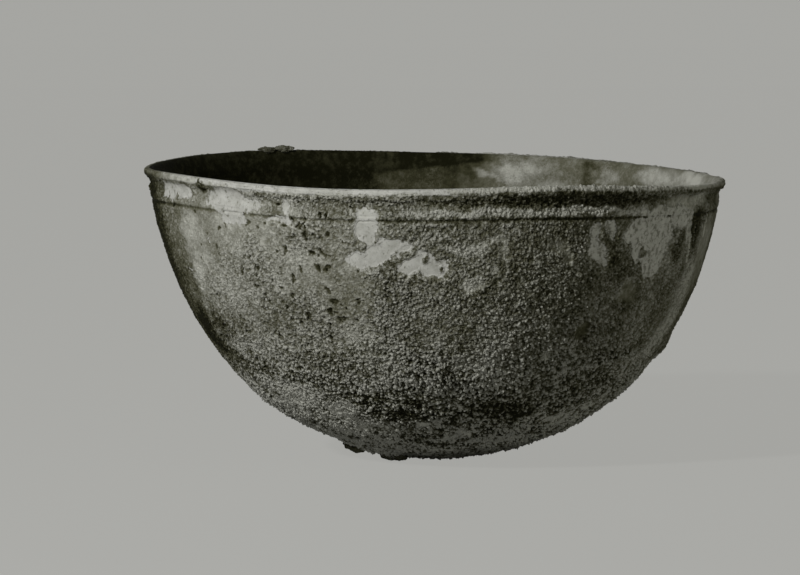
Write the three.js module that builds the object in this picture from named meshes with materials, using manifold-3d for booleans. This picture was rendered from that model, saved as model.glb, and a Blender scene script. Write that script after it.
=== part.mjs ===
// A small round-bottomed bronze bowl, raised from one sheet, with a turned lip and groove, as it came out of the ground.
// Lumps of corrosion and soil still cling to it. Millimetres, +Z up, -Y is the front.
// The origin is the middle of the small flat patch under the bowl, on which it stands.
import * as THREE from "three";
import { mergeVertices } from "three/addons/utils/BufferGeometryUtils.js";
import Module from "manifold-3d";

const wasm = await Module();
wasm.setup();

// Round body
const bowlHeight = 53.7; // from the stand to the top of the lip
const bodyTopRadius = 53.0; // outside of the wall, just under the turned rim
const standRadius = 5.5; // flat patch that the bowl stands on
const standRise = 7.5; // degrees from level, where the wall leaves the flat patch
const wallFlare = 10; // degrees from upright, at the top of the body
const basePullLength = 18.4; // how far the curve is pulled out along the base
const wallPullLength = 35.7; // how far the curve is pulled down the wall
const wallThickness = 1.2;
const baseThickness = 1.6;

// Turned rim, measured down from the top of the lip or out from the body
const rimHeight = 5.9;
const grooveWidth = 0.55;
const grooveDepth = 0.35;
const fineLineRise = 0.95; // from the groove up to the fine line above it
const fineLineWidth = 0.3;
const fineLineDepth = 0.12;
const ridgeStep = 0.2; // the band between the lines stands out from the body by this much
const neckWaistDrop = 3.0; // from the top of the lip down to the narrowest place of the neck
const neckWaistStep = 0.05;
const lipOverhang = 1.4; // from the body's outside to the lip's edge
const lipFace = 0.85; // upright outer face of the lip
const lipUndercut = 0.3; // small step under the lip
const lipWidth = 1.35; // across the top of the lip
const lipRounding = 0.3;

// Shape as found: the mouth isn't square to the base, and its edge isn't level
const mouthShift = 1.07; // the mouth's middle lies this far to the left of the stand
const rimSlope = 1.18; // the lip's left edge is this much higher than its middle, and the right edge lower
const rimSaddle = 0.34; // front and back of the lip are this much higher than its mean, and the sides lower
const frontRise = 0.15; // the front of the lip is this much higher than its middle, and the back lower

// The lip also waves up and down round the bowl. Each pair is the height of two, three, four or five even waves
// with a crest at the right edge, and that of the same waves turned on by a quarter wave
const twoWaves = 0.07;
const twoWavesTurned = -0.3;
const threeWaves = -0.11;
const threeWavesTurned = -0.05;
const fourWaves = -0.11;
const fourWavesTurned = 0.15;
const fiveWaves = 0.15;
const fiveWavesTurned = -0.07;

// Lumps of crust. Length runs round the bowl, width up its wall, and height out of the metal
const crustGap = 0.3; // between a lump and the metal
const rimLumpLength = 5.4;
const rimLumpWidth = 2.2;
const rimLumpHeight = 0.8;
const leftLumpLength = 3.6;
const leftLumpWidth = 3.5;
const leftLumpHeight = 1.2;
const middleLumpLength = 4.6;
const middleLumpWidth = 3.6;
const middleLumpHeight = 1.15;
const budShare = 0.85; // a lump's second grain is this much smaller than its first
const knobShare = 0.09; // of a grain's size, by which its surface rises and falls
const knobCount = 7; // waves of the knobs over a grain
const fineKnobCount = 13;

// Places of the lumps: azimuth in degrees from the front, positive to the right, and share of the wall's curve
const rimLumpAzimuth = -145;
const leftLumpAzimuth = -63;
const leftLumpShare = 0.21;
const middleLumpAzimuth = -47;
const middleLumpShare = 0.13;

// Fineness of the faceted solids
const turns = 72;
const wallSteps = 20;
const neckSteps = 4;
const lipSteps = 3;
const lumpDetail = 5;

const radians = THREE.MathUtils.degToRad;
const point = (r, z) => new THREE.Vector2(r, z);

// Outside of the round body, from the edge of the flat patch up to the turned rim.
const bodyTopHeight = bowlHeight - rimHeight;
const stand = point(standRadius, 0);
const bodyTop = point(bodyTopRadius, bodyTopHeight);
const wallCurve = new THREE.CubicBezierCurve(
  stand,
  point(
    stand.x + basePullLength * Math.cos(radians(standRise)),
    basePullLength * Math.sin(radians(standRise)),
  ),
  point(
    bodyTop.x - wallPullLength * Math.sin(radians(wallFlare)),
    bodyTop.y - wallPullLength * Math.cos(radians(wallFlare)),
  ),
  bodyTop,
);

// A place on the wall, at a share t of the curve, moved out along the wall's normal.
function onWall(t, out = 0) {
  const along = wallCurve.getTangent(t);
  return wallCurve.getPoint(t).add(point(along.y, -along.x).multiplyScalar(out));
}

function wallPoints(thicknessAt) {
  return Array.from({ length: wallSteps + 1 }, (_, i) => {
    const t = i / wallSteps;
    return onWall(t, -thicknessAt(t));
  });
}

const sheetThickness = (t) => THREE.MathUtils.lerp(baseThickness, wallThickness, t);

// A V-shaped line cut into the outside, as three points from its lower edge to its upper edge.
function cutLine(radius, height, width, depth, upperRadius = radius) {
  return [
    point(radius, height),
    point((radius + upperRadius) / 2 - depth, height + width / 2),
    point(upperRadius, height + width),
  ];
}

const lipRadius = bodyTopRadius + lipOverhang;
const lipBottom = bowlHeight - lipRounding - lipFace;
const lipInnerRadius = lipRadius - lipWidth;
const waistHeight = bowlHeight - neckWaistDrop;
const waistRadius = bodyTopRadius + neckWaistStep;
const ridgeRadius = bodyTopRadius + ridgeStep;
const fineLineHeight = bodyTopHeight + fineLineRise;

// Quarter round of the lip's top, from one end angle to the other, in degrees.
function lipRound(centreRadius, fromAngle, toAngle) {
  const arc = new THREE.EllipseCurve(
    centreRadius,
    bowlHeight - lipRounding,
    lipRounding,
    lipRounding,
    radians(fromAngle),
    radians(toAngle),
    toAngle < fromAngle,
  );
  return arc.getPoints(lipSteps);
}

// Outside of the turned rim, upwards: groove, band, fine line, hollow neck, and the lip with its small undercut.
function rimOutside(lineShare) {
  const neck = new THREE.SplineCurve([
    point(ridgeRadius, fineLineHeight + fineLineWidth),
    point(waistRadius, waistHeight),
    point(lipRadius - lipUndercut, lipBottom),
  ]);
  return [
    ...cutLine(bodyTopRadius, bodyTopHeight, grooveWidth, grooveDepth * lineShare, ridgeRadius).slice(1),
    ...cutLine(ridgeRadius, fineLineHeight, fineLineWidth, fineLineDepth * lineShare),
    ...neck.getPoints(neckSteps).slice(1),
    point(lipRadius, lipBottom),
    ...lipRound(lipRadius - lipRounding, 0, 90),
  ];
}

// Inside of the turned rim, downwards: the sheet follows the neck and turns out into the lip.
function rimInside() {
  const neck = new THREE.SplineCurve([
    point(lipInnerRadius, bowlHeight - lipRounding),
    point(waistRadius - wallThickness, waistHeight),
    onWall(1, -wallThickness),
  ]);
  return [...lipRound(lipInnerRadius + lipRounding, 90, 180), ...neck.getPoints(neckSteps).slice(1)];
}

// Cross-section of the sheet, from the axis under the base, up the outside, over the lip and down the inside.
function sheetOutline(lineShare = 1) {
  return [
    point(0, 0),
    ...wallPoints(() => 0),
    ...rimOutside(lineShare),
    ...rimInside(),
    ...wallPoints(sheetThickness).reverse().slice(1),
    point(0, baseThickness),
  ];
}

// The same cross-section with its surface moved out all round. The ends stay on the axis.
function grown(outline, out) {
  return outline.map((p, i) => {
    const before = outline[Math.max(i - 1, 0)];
    const after = outline[Math.min(i + 1, outline.length - 1)];
    const along = after.clone().sub(before).normalize();
    const moved = p.clone().add(point(along.y, -along.x).multiplyScalar(out));
    return p.x === 0 ? point(0, moved.y) : moved;
  });
}

// Waves of the lip: their number round the bowl, and the two heights of the pair.
const rimWaves = [
  [1, -rimSlope, -frontRise],
  [2, twoWaves, twoWavesTurned],
  [3, threeWaves, threeWavesTurned],
  [4, fourWaves, fourWavesTurned],
  [5, fiveWaves, fiveWavesTurned],
];

// How much the waves lift a place on the rim. They fade out towards the axis.
function waveLift(v) {
  const angle = Math.atan2(v.y, v.x);
  const outShare = Math.hypot(v.x, v.y) / lipRadius;
  return rimWaves.reduce((lift, [count, height, turnedHeight]) => {
    const wave = height * Math.cos(count * angle) + turnedHeight * Math.sin(count * angle);
    return lift + outShare ** count * wave;
  }, 0);
}

// Moves a place on the true round bowl to where it lies on the bowl as found. The flat patch stays where it is.
function asFound(v) {
  const up = v.z / bowlHeight;
  const saddle = (v.y * v.y - v.x * v.x) / (lipRadius * lipRadius);
  return v.set(
    v.x - mouthShift * up,
    v.y,
    v.z + up * up * (rimSaddle * up * up * saddle + waveLift(v)),
  );
}

function moveVertices(geometry, move) {
  const place = geometry.getAttribute("position");
  const v = new THREE.Vector3();
  for (let i = 0; i < place.count; i++) {
    move(v.fromBufferAttribute(place, i));
    place.setXYZ(i, v.x, v.y, v.z);
  }
  return geometry;
}

function turned(outline) {
  const geometry = new THREE.LatheGeometry(outline, turns).rotateX(Math.PI / 2);
  return moveVertices(geometry, asFound);
}

// Closed meshes to manifold-3d solids, and back.
function toSolid(geometry) {
  const bare = new THREE.BufferGeometry().setAttribute("position", geometry.getAttribute("position").clone());
  if (geometry.index) bare.setIndex(geometry.index.clone());
  const merged = mergeVertices(bare, 1e-3);
  return new wasm.Manifold(
    new wasm.Mesh({
      numProp: 3,
      vertProperties: new Float32Array(merged.getAttribute("position").array),
      triVerts: new Uint32Array(merged.index.array),
    }),
  );
}

function toGeometry(solid) {
  const mesh = solid.getMesh();
  const geometry = new THREE.BufferGeometry();
  geometry.setAttribute("position", new THREE.BufferAttribute(new Float32Array(mesh.vertProperties), 3));
  geometry.setIndex(new THREE.BufferAttribute(new Uint32Array(mesh.triVerts), 1));
  geometry.computeVertexNormals();
  return geometry;
}

// One knobbly grain of crust in a seat's own frame: x along the rim, y up the wall, z out of the metal.
function grain({ length, width, height, along = 0, up = 0 }) {
  const geometry = new THREE.IcosahedronGeometry(1, lumpDetail);
  return moveVertices(geometry, (v) => {
    const coarse = Math.sin(knobCount * v.x) * Math.cos(knobCount * v.y);
    const fine = Math.sin(fineKnobCount * (v.x + v.z)) / 2;
    v.multiplyScalar(1 + knobShare * (coarse + fine));
    v.set((v.x * length) / 2 + along, (v.y * width) / 2 + up, v.z * height);
  });
}

// The second grain of a lump, moved along and up by shares of the first one's length.
function bud({ length, width, height }, alongShare, upShare = 0) {
  return {
    length: budShare * length,
    width: budShare * width,
    height: budShare * height,
    along: alongShare * length,
    up: upShare * length,
  };
}

// A lump is grains grown together on one seat, cut back to a constant gap from the metal.
function crustLump(seat, grains) {
  const metal = toSolid(turned(grown(sheetOutline(0), crustGap)));
  const lump = grains
    .map((size) => toSolid(grain(size).applyMatrix4(seat)))
    .reduce((all, one) => all.add(one));
  return toGeometry(lump.subtract(metal));
}

// Frame of a place on the bowl. Azimuth is in degrees from the front, positive to the right.
function seatAt(profilePoint, profileNormal, azimuth) {
  const a = radians(azimuth);
  const outward = new THREE.Vector3(Math.sin(a), -Math.cos(a), 0);
  const along = new THREE.Vector3(Math.cos(a), Math.sin(a), 0);
  const normal = outward.clone().multiplyScalar(profileNormal.x).setZ(profileNormal.y).normalize();
  const place = asFound(outward.clone().multiplyScalar(profilePoint.x).setZ(profilePoint.y));
  return new THREE.Matrix4()
    .makeBasis(along, normal.clone().cross(along), normal)
    .setPosition(place);
}

function wallSeat(share, azimuth) {
  const along = wallCurve.getTangent(share);
  return seatAt(onWall(share), point(along.y, -along.x), azimuth);
}

function lipSeat(azimuth) {
  return seatAt(point(lipRadius - lipWidth / 2, bowlHeight), point(0, 1), azimuth);
}

// Materials
const bronze = new THREE.MeshStandardMaterial({ color: 0x7b7c70, roughness: 0.72, metalness: 0.25 });
const crust = new THREE.MeshStandardMaterial({ color: 0x4c4c42, roughness: 0.95, metalness: 0 });

const object = new THREE.Group();

function addPart(name, geometry, material) {
  const part = new THREE.Mesh(geometry, material);
  part.name = name;
  object.add(part);
}

// The bowl: base, wall, neck and lip are one sheet of metal.
addPart("bowl", turned(sheetOutline()), bronze);

// Crust on top of the lip, at the back left.
const rimGrain = { length: rimLumpLength, width: rimLumpWidth, height: rimLumpHeight, along: -rimLumpLength / 3 };
addPart("rim_crust", crustLump(lipSeat(rimLumpAzimuth), [rimGrain, bud(rimGrain, 0.4)]), crust);

// Scabs of crust under the bowl, in front and to the left of the flat patch.
const leftGrain = { length: leftLumpLength, width: leftLumpWidth, height: leftLumpHeight };
addPart(
  "underside_crust_left",
  crustLump(wallSeat(leftLumpShare, leftLumpAzimuth), [leftGrain, bud(leftGrain, -0.3, 0.15)]),
  crust,
);
const middleGrain = { length: middleLumpLength, width: middleLumpWidth, height: middleLumpHeight };
addPart(
  "underside_crust_middle",
  crustLump(wallSeat(middleLumpShare, middleLumpAzimuth), [middleGrain, bud(middleGrain, 0.4, -0.1)]),
  crust,
);

export default object;
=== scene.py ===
import bmesh
import bpy
import numpy as np
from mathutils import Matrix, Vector


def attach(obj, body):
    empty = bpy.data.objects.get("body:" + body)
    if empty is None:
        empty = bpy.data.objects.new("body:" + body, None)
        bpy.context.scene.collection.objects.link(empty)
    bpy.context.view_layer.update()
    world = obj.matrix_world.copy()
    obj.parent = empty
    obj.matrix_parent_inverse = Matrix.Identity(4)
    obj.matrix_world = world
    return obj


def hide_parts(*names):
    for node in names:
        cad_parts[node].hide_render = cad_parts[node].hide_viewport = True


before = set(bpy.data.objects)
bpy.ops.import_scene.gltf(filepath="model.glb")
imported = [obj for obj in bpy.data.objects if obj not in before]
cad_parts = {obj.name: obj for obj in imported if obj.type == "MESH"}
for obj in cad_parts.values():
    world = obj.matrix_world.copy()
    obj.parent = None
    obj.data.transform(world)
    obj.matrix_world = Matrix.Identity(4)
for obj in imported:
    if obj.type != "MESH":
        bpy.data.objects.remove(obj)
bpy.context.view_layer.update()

# Lengths in this script are millimetres, and MM turns a finished mesh to metres.
MM = 0.001

# Camera
# It stands 0.9 m in front of the bowl and looks a little down into the mouth, with a long lens.
CAMERA_PLACE = Vector((-7.516, -900.0, 114.33)) * MM
CAMERA_TARGET = Vector((-7.516, 0.0, 31.663)) * MM
SENSOR_WIDTH = 36.0
FOCAL_LENGTH = 216.4

camera_data = bpy.data.cameras.new("camera")
camera_data.sensor_width = SENSOR_WIDTH
camera_data.lens = FOCAL_LENGTH
camera = bpy.data.objects.new("camera", camera_data)
camera.location = CAMERA_PLACE
camera.rotation_euler = (CAMERA_TARGET - CAMERA_PLACE).to_track_quat("-Z", "Y").to_euler()
bpy.context.scene.collection.objects.link(camera)
bpy.context.scene.camera = camera
bpy.context.scene.view_settings.view_transform = "Standard"

# Bowl
# One sheet of bronze, raised by hammering over a round stake, with its edge turned out into a lip.
# A groove and a finer line are cut round it under the neck, and its mouth is a little crooked, as found.
BOWL_HEIGHT = 53.7
BODY_TOP_RADIUS = 53.0
STAND_RADIUS = 5.5
STAND_RISE = np.radians(7.5)
WALL_FLARE = np.radians(10.0)
BASE_FULLNESS = 18.4
WALL_FULLNESS = 35.7
WALL_THICKNESS = 1.2
BASE_THICKNESS = 1.6
RIM_HEIGHT = 5.9
RIDGE_STEP = 0.2
NECK_STEP = 0.08
LIP_OVERHANG = 1.4
LIP_WIDTH = 1.35
MOUTH_SHIFT = 1.07
RIM_SADDLE = 0.34
# Waves of the lip's height: their number round the bowl, and heights at the right edge and a quarter wave on.
RIM_WAVES = (
    (1, -1.18, -0.15),
    (2, 0.07, -0.3),
    (3, -0.11, -0.05),
    (4, -0.11, 0.15),
    (5, 0.15, -0.07),
)
LIP_EASING = 0.3
EDGE_SOFTNESS = 0.12
# Lines cut round the bowl, the last on the lip's edge: drop below the top of the lip, width and depth.
GROOVE = (5.62, 0.34, 0.22)
FINE_LINE = (4.75, 0.25, 0.1)
LIP_LINE = (0.68, 0.16, 0.06)
# The sheet lies this far inside the CAD surface at some ways from the middle of the base, up to the lip and
# past it, so that the crust on it makes up the measured size.
INSET_WAYS = (48.0, 66.0, 76.0, 82.7, 84.2, 85.2)
INSET_DEPTHS = (0.7, 0.42, 0.28, 0.16, 0.12, 0.08)
FINE_STEP = 0.05
CURVE_POINTS = 400
LIP_RADIUS = BODY_TOP_RADIUS + LIP_OVERHANG
# The rim's outline, up the outside over ridge, neck and lip, and down the inside.
# Each point is a radius and a drop below the top of the lip.
RIM_OUTSIDE = (
    (BODY_TOP_RADIUS + RIDGE_STEP, 5.3),
    (BODY_TOP_RADIUS + RIDGE_STEP, 4.4),
    (BODY_TOP_RADIUS + NECK_STEP, 3.4),
    (BODY_TOP_RADIUS + NECK_STEP, 2.7),
    (BODY_TOP_RADIUS + 0.3, 2.0),
    (LIP_RADIUS - LIP_EASING, 1.22),
    (LIP_RADIUS - 0.12, 1.18),
    (LIP_RADIUS, 1.05),
    (LIP_RADIUS, LIP_EASING),
    (LIP_RADIUS - LIP_EASING, 0.0),
)
RIM_INSIDE = (
    (LIP_RADIUS - LIP_WIDTH + 0.25, 0.0),
    (LIP_RADIUS - LIP_WIDTH, LIP_EASING),
    (BODY_TOP_RADIUS - WALL_THICKNESS + 0.5, 1.7),
    (BODY_TOP_RADIUS - WALL_THICKNESS + 0.05, 3.0),
)


def wall_curve(count):
    """Places and outward normals down the middle of the outside wall, from the flat patch to the rim."""
    start = np.array([STAND_RADIUS, 0.0])
    end = np.array([BODY_TOP_RADIUS, BOWL_HEIGHT - RIM_HEIGHT])
    low = start + BASE_FULLNESS * np.array([np.cos(STAND_RISE), np.sin(STAND_RISE)])
    high = end - WALL_FULLNESS * np.array([np.sin(WALL_FLARE), np.cos(WALL_FLARE)])
    t = np.linspace(0, 1, count)[:, None]
    places = (1 - t) ** 3 * start + 3 * (1 - t) ** 2 * t * low + 3 * (1 - t) * t**2 * high + t**3 * end
    along = np.gradient(places, axis=0)
    along /= np.linalg.norm(along, axis=1)[:, None]
    return places, np.stack([along[:, 1], -along[:, 0]], 1), t


def evenly(line, step):
    """The same line with its points about one step apart."""
    way = np.concatenate([[0], np.cumsum(np.linalg.norm(np.diff(line, axis=0), axis=1))])
    marks = np.linspace(0, way[-1], max(2, int(round(way[-1] / step)) + 1))
    return np.stack([np.interp(marks, way, line[:, i]) for i in (0, 1)], 1)


def rounded(line, softness):
    """The line with its corners rounded. Its two ends stay."""
    reach = int(4 * softness / FINE_STEP)
    weights = np.exp(-0.5 * (np.arange(-reach, reach + 1) * FINE_STEP / softness) ** 2)
    padded = np.pad(line, ((reach, reach), (0, 0)), mode="reflect", reflect_type="odd")
    soft = [np.convolve(padded[:, i], weights / weights.sum(), "valid") for i in (0, 1)]
    return np.stack(soft, 1)


def sheet_outline():
    """Half of the sheet's cross-section, as radii and heights, from the axis below to the axis inside."""
    outside, normals, share = wall_curve(CURVE_POINTS)
    thickness = BASE_THICKNESS + (WALL_THICKNESS - BASE_THICKNESS) * share
    inside = (outside - normals * thickness)[::-1]
    rim = [(radius, BOWL_HEIGHT - drop) for radius, drop in RIM_OUTSIDE + RIM_INSIDE]
    line = np.vstack([[(0.0, 0.0)], outside, rim, inside, [(0.0, BASE_THICKNESS)]])
    line = rounded(evenly(line, FINE_STEP), EDGE_SOFTNESS)
    line[0, 0] = line[-1, 0] = 0.0
    return line


OUTLINE = sheet_outline()
OUTLINE_WAY = np.concatenate([[0], np.cumsum(np.linalg.norm(np.diff(OUTLINE, axis=0), axis=1))])
LIP_WAY = OUTLINE_WAY[np.argmax(OUTLINE[:, 1])]
BODY_TOP_WAY = OUTLINE_WAY[np.argmax(OUTLINE[:, 1] > BOWL_HEIGHT - RIM_HEIGHT)]


def outline_at(way):
    """Radius and height of the sheet's surface, at a way along it from the middle of the base."""
    return np.stack([np.interp(way, OUTLINE_WAY, OUTLINE[:, i]) for i in (0, 1)], -1)


def vertices_of(mesh):
    places = np.empty(3 * len(mesh.vertices))
    mesh.vertices.foreach_get("co", places)
    return places.reshape(-1, 3)


def keep_value(mesh, name, values):
    """Stores one number for each vertex, which the materials read by its name."""
    layer = mesh.attributes.get(name) or mesh.attributes.new(name, "FLOAT", "POINT")
    layer.data.foreach_set("value", np.asarray(values, np.float32))


def stored(mesh, name):
    values = np.empty(len(mesh.vertices), np.float32)
    mesh.attributes[name].data.foreach_get("value", values)
    return values.astype(float)


def azimuth_of(places):
    """The direction of each place in degrees: 0 at the front, 90 at the right and negative at the left."""
    return np.degrees(np.arctan2(places[:, 0], -places[:, 1]))


def band(name, marks, start=0.0, turn=360.0, steps=440):
    """A band of the sheet's surface between two ways, turned about the axis from a start azimuth."""
    bm = bmesh.new()
    bmesh.ops.create_grid(bm, x_segments=steps, y_segments=len(marks) - 1, size=1.0)
    mesh = bpy.data.meshes.new(name)
    bm.to_mesh(mesh)
    flat = (vertices_of(mesh) + 1) / 2
    way = np.interp(flat[:, 1] * (len(marks) - 1), np.arange(len(marks)), marks)
    azimuth = np.radians(start + turn * flat[:, 0])
    radius, height = outline_at(way).T
    places = np.stack([radius * np.sin(azimuth), -radius * np.cos(azimuth), height], 1)
    mesh.vertices.foreach_set("co", places.ravel())
    keep_value(mesh, "way", way)
    bm.clear()
    bm.from_mesh(mesh)
    bmesh.ops.remove_doubles(bm, verts=bm.verts[:], dist=0.002)
    bm.to_mesh(mesh)
    bm.free()
    return mesh


def outward(places, way):
    """The sheet's outward direction at each place, which is the inward one on the inside of the bowl."""
    ahead, behind = outline_at(way + FINE_STEP), outline_at(way - FINE_STEP)
    along = (ahead - behind) / np.linalg.norm(ahead - behind, axis=1)[:, None]
    azimuth = np.radians(azimuth_of(places))
    return np.stack([along[:, 1] * np.sin(azimuth), -along[:, 1] * np.cos(azimuth), -along[:, 0]], 1)


def inset(way):
    """How far the sheet lies inside the CAD surface."""
    return np.interp(way, INSET_WAYS, INSET_DEPTHS)


def as_found(places):
    """Moves places on the true round bowl to where they lie on the crooked one. The base stays."""
    x, y, z = places.T
    up = z / BOWL_HEIGHT
    saddle = (y * y - x * x) / LIP_RADIUS**2
    lift = up**2 * RIM_SADDLE * saddle
    place = (x + 1j * y) / LIP_RADIUS
    for count, height, turned_height in RIM_WAVES:
        lift = lift + height * (place**count).real + turned_height * (place**count).imag
    return np.stack([x - MOUTH_SHIFT * up, y, z + up**2 * lift], 1)


def mesh_from(bm, name):
    mesh = bpy.data.meshes.new(name)
    bm.to_mesh(mesh)
    bm.free()
    return mesh


def normals_of(mesh):
    normals = np.empty(3 * len(mesh.vertices), np.float32)
    mesh.vertex_normals.foreach_get("vector", normals)
    return normals.reshape(-1, 3).astype(float)


def finished(mesh, name, places, material):
    """Puts the vertices where they belong, in metres, and makes the object, which rides on the one body."""
    mesh.vertices.foreach_set("co", (places * MM).ravel())
    mesh.shade_smooth()
    mesh.update()
    mesh.materials.append(material)
    piece = bpy.data.objects.new(name, mesh)
    bpy.context.scene.collection.objects.link(piece)
    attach(piece, "root")
    return piece


# Large odd factors, which stir the bits of a cell's number.
CELL_FACTORS = np.array([0x8DA6B343, 0xD8163841, 0xCB1AB31F], np.uint32)
SALT_FACTOR = 0x9E3779B1
STIRS = ((15, 0x846CA68B), (13, 0xC2B2AE35))
WHOLE = 2.0**32
WAVE_RATIO = 2.03
WAVE_SHIFT = 17.3


def number_of(x, y, z, salt):
    """A whole number for each cell. It looks random and is the same in each run."""
    mixed = x * CELL_FACTORS[0] ^ y * CELL_FACTORS[1] ^ z * CELL_FACTORS[2]
    mixed += np.uint32((salt * SALT_FACTOR) % int(WHOLE))
    for shift, factor in STIRS:
        mixed ^= mixed >> np.uint32(shift)
        mixed *= np.uint32(factor)
    mixed ^= mixed >> np.uint32(16)
    return mixed


def waves(places, pitch, salt=0, octaves=3):
    """Smooth noise, about -1 to 1, whose largest waves are one pitch wide."""
    total = np.zeros(len(places))
    spots = places.T / pitch
    size = 1.0
    for octave in range(octaves):
        home = np.floor(spots)
        part = spots - home
        part = part * part * (3 - 2 * part)
        shares = ((1 - part[0], part[0]), (1 - part[1], part[1]), (1 - part[2], part[2]))
        x, y, z = home.astype(np.int64).astype(np.uint32)
        for i, j, k in np.ndindex(2, 2, 2):
            number = number_of(x + np.uint32(i), y + np.uint32(j), z + np.uint32(k), 100 * salt + octave)
            total += shares[0][i] * shares[1][j] * shares[2][k] * (number / WHOLE * 2 - 1) * size
        spots = spots * WAVE_RATIO + WAVE_SHIFT
        size *= 0.5
    return total


def soft_step(value, low, high):
    """0 up to the low end, 1 from the high end on, and a smooth rise between. The ends may be swapped."""
    t = np.clip((value - low) / (high - low), 0, 1)
    return t * t * (3 - 2 * t)


GLOSS_TINT = (1.0, 1.0, 0.6, 1.0)


class Material:
    """A node material under way: short calls add nodes and links."""

    def __init__(self, name):
        self.material = bpy.data.materials.new(name)
        self.material.use_nodes = True
        self.nodes = self.material.node_tree.nodes
        self.links = self.material.node_tree.links
        self.shader = self.nodes["Principled BSDF"]
        self.coordinates = self.nodes.new("ShaderNodeTexCoord").outputs["Object"]

    def value(self, name):
        node = self.nodes.new("ShaderNodeAttribute")
        node.attribute_name = name
        return node.outputs["Fac"]

    def swayed(self, size, sway):
        """The coordinates, moved to and fro by a length in millimetres so that cells get ragged shapes."""
        noise = self.nodes.new("ShaderNodeTexNoise")
        noise.inputs["Scale"].default_value = 1.0 / (size * MM)
        self.links.new(self.coordinates, noise.inputs["Vector"])
        centred = self.nodes.new("ShaderNodeVectorMath")
        centred.operation = "SUBTRACT"
        centred.inputs[1].default_value = (0.5, 0.5, 0.5)
        self.links.new(noise.outputs["Color"], centred.inputs[0])
        moved = self.nodes.new("ShaderNodeVectorMath")
        moved.operation = "MULTIPLY_ADD"
        moved.inputs[1].default_value = (sway * MM, sway * MM, sway * MM)
        self.links.new(centred.outputs["Vector"], moved.inputs[0])
        self.links.new(self.coordinates, moved.inputs[2])
        return moved.outputs["Vector"]

    def speckle(self, size, detail=3.0, roughness=0.6):
        """Noise with features of a size in millimetres."""
        node = self.nodes.new("ShaderNodeTexNoise")
        node.inputs["Scale"].default_value = 1.0 / (size * MM)
        node.inputs["Detail"].default_value = detail
        node.inputs["Roughness"].default_value = roughness
        self.links.new(self.coordinates, node.inputs["Vector"])
        return node.outputs["Fac"]

    def cells(self, size, sway=0.0):
        """Cells of a size in millimetres: the distance from each one's middle, and its own random grey."""
        node = self.nodes.new("ShaderNodeTexVoronoi")
        node.inputs["Scale"].default_value = 1.0 / (size * MM)
        self.links.new(self.swayed(size, sway), node.inputs["Vector"])
        split = self.nodes.new("ShaderNodeSeparateColor")
        self.links.new(node.outputs["Color"], split.inputs["Color"])
        return node.outputs["Distance"], split.outputs["Red"]

    def ramp(self, factor, *stops):
        node = self.nodes.new("ShaderNodeValToRGB")
        for i, (place, colour) in enumerate(stops):
            stop = node.color_ramp.elements[i] if i < 2 else node.color_ramp.elements.new(place)
            stop.position = place
            stop.color = (*colour, 1.0) if isinstance(colour, tuple) else (colour, colour, colour, 1.0)
        self.links.new(factor, node.inputs["Fac"])
        return node.outputs["Color"]

    def mix(self, factor, a, b, blend="MIX"):
        node = self.nodes.new("ShaderNodeMix")
        node.data_type = "RGBA"
        node.blend_type = blend
        if isinstance(factor, float):
            node.inputs["Factor"].default_value = factor
        else:
            self.links.new(factor, node.inputs["Factor"])
        self.links.new(a, node.inputs["A"])
        self.links.new(b, node.inputs["B"])
        return node.outputs["Result"]

    def tone(self, red, green, blue):
        node = self.nodes.new("ShaderNodeRGB")
        node.outputs["Color"].default_value = (red, green, blue, 1.0)
        return node.outputs["Color"]

    def math(self, operation, a, b):
        node = self.nodes.new("ShaderNodeMath")
        node.operation = operation
        for socket, source in zip(node.inputs, (a, b)):
            if isinstance(source, float):
                socket.default_value = source
            else:
                self.links.new(source, socket)
        return node.outputs["Value"]

    def bump(self, height, depth):
        """Relief of a depth in millimetres, too fine for the mesh."""
        node = self.nodes.new("ShaderNodeBump")
        node.inputs["Strength"].default_value = 1.0
        node.inputs["Distance"].default_value = depth * MM
        self.links.new(height, node.inputs["Height"])
        self.links.new(node.outputs["Normal"], self.shader.inputs["Normal"])

    def done(self, colour, roughness, specular):
        self.links.new(colour, self.shader.inputs["Base Color"])
        if isinstance(roughness, float):
            self.shader.inputs["Roughness"].default_value = roughness
        else:
            self.links.new(roughness, self.shader.inputs["Roughness"])
        self.shader.inputs["Specular IOR Level"].default_value = specular
        self.shader.inputs["Specular Tint"].default_value = GLOSS_TINT
        return self.material


PATINA_GREY = (0.33, 0.33, 0.3)
PATINA_PALE = (0.46, 0.46, 0.43)
STAIN_COLOUR = (0.1, 0.099, 0.075)


def patina(m):
    """Colour of the bare original surface: pale, smooth and mottled, with remains of crust where stained."""
    mottle = m.ramp(m.speckle(2.0, 5.0), (0.3, PATINA_GREY), (0.62, PATINA_PALE))
    specks = m.ramp(m.speckle(0.35, 2.0), (0.28, 0.7), (0.42, 1.0))
    clean = m.mix(1.0, mottle, specks, "MULTIPLY")
    blotch = m.math("ADD", m.speckle(0.9, 4.0, 0.7), m.math("MULTIPLY", m.value("stain"), 0.2))
    blotch = m.ramp(blotch, (0.6, 0.0), (0.72, 0.8))
    return m.mix(blotch, clean, m.tone(*STAIN_COLOUR))


def stain_at(azimuth):
    """How much crust clings to the bare patches, as a share: least in the middle and most at the right."""
    return 0.3 - 0.25 * soft_step(azimuth, -34.0, -20.0) + 0.55 * soft_step(azimuth, 4.0, 35.0)


def bronze_finish():
    m = Material("bronze")
    m.bump(m.speckle(0.5, 4.0), 0.03)
    roughness = m.ramp(m.speckle(1.5), (0.3, 0.55), (0.7, 0.7))
    return m.done(patina(m), roughness, 0.25)


bronze = bronze_finish()


RIM_RING_STEP = 0.17
WALL_RINGS = 84
DENT_PITCH = 9.0
DENT_DEPTH = 0.05
WEAR_PITCH = 1.8
WEAR_DEPTH = 0.02


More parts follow.
